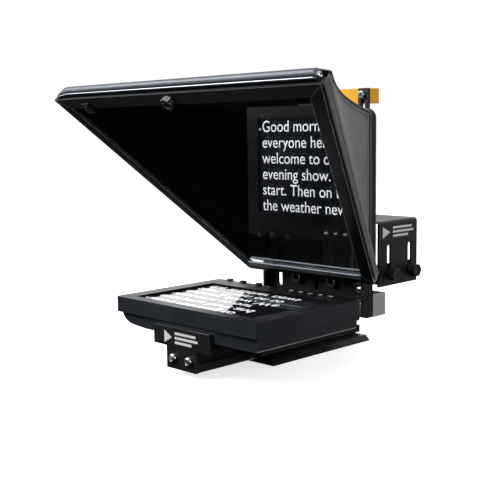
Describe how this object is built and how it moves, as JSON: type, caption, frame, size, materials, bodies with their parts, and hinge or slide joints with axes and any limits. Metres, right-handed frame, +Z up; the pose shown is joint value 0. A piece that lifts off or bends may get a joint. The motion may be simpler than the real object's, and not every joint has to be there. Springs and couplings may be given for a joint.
{
  "type": "teleprompter",
  "caption": "On-camera teleprompter: a flat monitor on a rail, a sloping beam-splitter glass in a fabric hood, and a height-adjustable camera riser behind it.",
  "frame": {"origin": "middle of the base plate's underside, where a tripod holds the teleprompter", "axes": "+X to the right as the person being filmed sees it, +Y back toward the camera operator, +Z up"},
  "size_m": [0.3758, 0.3348, 0.2845],
  "materials": {
    "anodised_black": "satin black anodised aluminium",
    "monitor_shell": "blue-black moulded plastic",
    "soft_black": "moulded black rubber grip",
    "hood_fabric": "black woven nylon",
    "steel": "bright zinc-plated steel",
    "black_steel": "black oxide steel",
    "bare_aluminium": "plain satin aluminium",
    "yellow_paint": "orange-yellow powder coat",
    "beam_splitter_glass": "half-silvered glass",
    "screen": "glossy display panel"
  },
  "bodies": {
    "stand": {"base_plate": "anodised_black", "rail": "anodised_black", "front_plate": "anodised_black", "front_bolt_1": "steel", "front_bolt_2": "steel", "back_plate": "anodised_black", "plate_bolt_1": "black_steel", "plate_bolt_2": "black_steel", "edge_screw_1": "steel", "edge_screw_2": "steel", "upright_block": "anodised_black", "cross_channel": "bare_aluminium", "channel_pad": "anodised_black", "camera_cradle": "anodised_black", "frame_foot": "anodised_black", "frame_right": "anodised_black", "frame_head": "anodised_black", "frame_left": "anodised_black", "beam_splitter": "beam_splitter_glass", "glass_ledge": "steel", "glass_clip": "soft_black", "hood_left": "hood_fabric", "hood_right": "hood_fabric", "hood_top": "hood_fabric", "hood_flap": "hood_fabric", "hood_hem": "hood_fabric", "hood_bracket_left": "anodised_black", "hood_bracket_right": "anodised_black", "lens_sleeve": "hood_fabric", "bar_bracket_left": "anodised_black", "bar_bracket_right": "anodised_black", "bracket_screw_left": "black_steel", "bracket_screw_right": "black_steel"},
    "monitor": {"monitor_housing": "monitor_shell", "monitor_bezel": "monitor_shell", "lcd_panel": "screen", "edge_clip_1": "soft_black", "edge_clip_2": "soft_black", "edge_clip_3": "soft_black", "video_socket": "steel", "power_socket": "steel", "monitor_saddle": "anodised_black"},
    "saddle_knob": {"saddle_knob": "soft_black"},
    "button_1": {"button_1": "soft_black"},
    "button_2": {"button_2": "soft_black"},
    "button_3": {"button_3": "soft_black"},
    "button_4": {"button_4": "soft_black"},
    "button_5": {"button_5": "soft_black"},
    "riser": {"camera_riser": "anodised_black"},
    "camera_washer": {"camera_washer": "steel"},
    "camera_screw": {"camera_screw": "steel"},
    "riser_knob_1": {"riser_knob_1": "soft_black"},
    "riser_knob_2": {"riser_knob_2": "soft_black"},
    "riser_knob_3": {"riser_knob_3": "soft_black"},
    "riser_knob_4": {"riser_knob_4": "soft_black"},
    "glass_screw": {"glass_screw": "steel"},
    "cross_bar": {"cross_bar": "yellow_paint", "bar_bolt_left": "steel", "bar_bolt_right": "steel"}
  },
  "joints": [
    {"name": "monitor_slide", "type": "slide", "parent": "stand", "child": "monitor", "axis": [0, 1, 0], "range_m": [0, 0.03]},
    {"name": "saddle_knob_turn", "type": "hinge", "parent": "monitor", "child": "saddle_knob", "pos_m": [-0.0423, -0.0615, 0.024], "axis": [-1, 0, 0], "continuous": true},
    {"name": "button_1_press", "type": "slide", "parent": "monitor", "child": "button_1", "axis": [0, 0, -1], "range_m": [0, 0.0008], "stiffness_N_per_m": 400},
    {"name": "button_2_press", "type": "slide", "parent": "monitor", "child": "button_2", "axis": [0, 0, -1], "range_m": [0, 0.0008], "stiffness_N_per_m": 400},
    {"name": "button_3_press", "type": "slide", "parent": "monitor", "child": "button_3", "axis": [0, 0, -1], "range_m": [0, 0.0008], "stiffness_N_per_m": 400},
    {"name": "button_4_press", "type": "slide", "parent": "monitor", "child": "button_4", "axis": [0, 0, -1], "range_m": [0, 0.0008], "stiffness_N_per_m": 400},
    {"name": "button_5_press", "type": "slide", "parent": "monitor", "child": "button_5", "axis": [0, 0, -1], "range_m": [0, 0.0008], "stiffness_N_per_m": 400},
    {"name": "riser_height", "type": "slide", "parent": "stand", "child": "riser", "axis": [0, 0, 1], "range_m": [-0.028, 0.003]},
    {"name": "camera_screw_slide", "type": "slide", "parent": "riser", "child": "camera_washer", "axis": [0, 1, 0], "range_m": [-0.016, 0.016]},
    {"name": "camera_screw_turn", "type": "hinge", "parent": "camera_washer", "child": "camera_screw", "pos_m": [0, 0.118, 0.125], "axis": [0, 0, 1], "continuous": true},
    {"name": "riser_knob_1_turn", "type": "hinge", "parent": "stand", "child": "riser_knob_1", "pos_m": [-0.0503, 0.1005, 0.0745], "axis": [-1, 0, 0], "continuous": true},
    {"name": "riser_knob_2_turn", "type": "hinge", "parent": "stand", "child": "riser_knob_2", "pos_m": [-0.0503, 0.1398, 0.0745], "axis": [-1, 0, 0], "continuous": true},
    {"name": "riser_knob_3_turn", "type": "hinge", "parent": "stand", "child": "riser_knob_3", "pos_m": [0.0503, 0.1005, 0.0745], "axis": [1, 0, 0], "continuous": true},
    {"name": "riser_knob_4_turn", "type": "hinge", "parent": "stand", "child": "riser_knob_4", "pos_m": [0.0503, 0.1398, 0.0745], "axis": [1, 0, 0], "continuous": true},
    {"name": "glass_screw_turn", "type": "hinge", "parent": "stand", "child": "glass_screw", "pos_m": [0, -0.1701, 0.26606], "axis": [0, -0.7071, -0.7071], "continuous": true},
    {"name": "cross_bar_height", "type": "slide", "parent": "stand", "child": "cross_bar", "axis": [0, 0, 1], "range_m": [-0.009, 0]}
  ]
}
